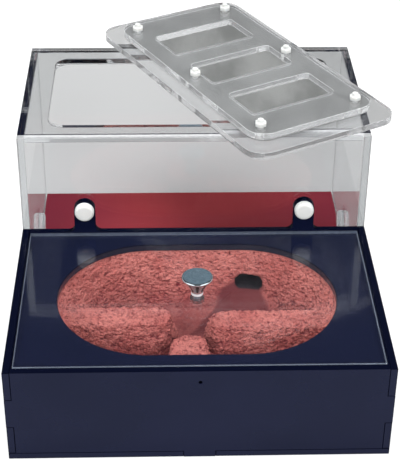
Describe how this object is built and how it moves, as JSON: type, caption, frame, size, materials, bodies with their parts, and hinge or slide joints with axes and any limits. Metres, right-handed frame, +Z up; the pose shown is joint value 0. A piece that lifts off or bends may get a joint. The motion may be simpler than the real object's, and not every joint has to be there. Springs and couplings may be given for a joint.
{
  "type": "ant habitat",
  "caption": "Ant habitat: a low nest box with a moulded plaster landscape under a knobbed clear cover, bolted to a tall clear foraging box with a ventilated lid.",
  "frame": {"origin": "centre of the two boxes' shared footprint, on the ground, on the underside of the nest's base plate", "axes": "+X to the right, +Y back from the nest box to the foraging box, +Z up"},
  "size_m": [0.1633, 0.2339, 0.0977],
  "materials": {
    "navy_acrylic": "gloss, laser-cut edges",
    "dark_acrylic": "gloss",
    "clear_acrylic": "clear gloss",
    "red_floor": "smooth gloss",
    "coral_plaster": "rough cast",
    "chrome": "polished",
    "steel": "plain",
    "white_nylon": "satin",
    "clear_plug": "clear soft",
    "wire_gauze": "fine woven"
  },
  "bodies": {
    "boxes": {"nest_base_plate": "navy_acrylic", "nest_front_panel": "navy_acrylic", "nest_rear_panel": "navy_acrylic", "nest_left_panel": "navy_acrylic", "nest_right_panel": "navy_acrylic", "plaster_insert": "coral_plaster", "mask_plate": "navy_acrylic", "ear_bolts": "white_nylon", "outworld_base": "dark_acrylic", "outworld_floor": "red_floor", "outworld_front_wall": "clear_acrylic", "outworld_rear_wall": "clear_acrylic", "outworld_left_wall": "clear_acrylic", "outworld_right_wall": "clear_acrylic", "outworld_top": "clear_acrylic"},
    "cover": {"nest_cover": "clear_acrylic", "cover_knob": "chrome", "knob_screw": "steel"},
    "left_plug": {"left_port_plug": "clear_plug"},
    "right_plug": {"right_port_plug": "clear_plug"},
    "lid": {"lid_cover_plate": "clear_acrylic", "lid_gauze": "wire_gauze", "lid_locating_plate": "clear_acrylic", "lid_studs": "white_nylon", "lid_nuts": "white_nylon"}
  },
  "joints": [
    {"name": "lid_lift", "type": "slide", "parent": "boxes", "child": "lid", "axis": [0, 0, 1], "range_m": [0, 0.06]},
    {"name": "cover_lift", "type": "slide", "parent": "boxes", "child": "cover", "axis": [0, 0, 1], "range_m": [0, 0.0065]},
    {"name": "left_plug_pull", "type": "slide", "parent": "boxes", "child": "left_plug", "axis": [-1, 0, 0], "range_m": [0, 0.012]},
    {"name": "right_plug_pull", "type": "slide", "parent": "boxes", "child": "right_plug", "axis": [1, 0, 0], "range_m": [0, 0.012]}
  ]
}
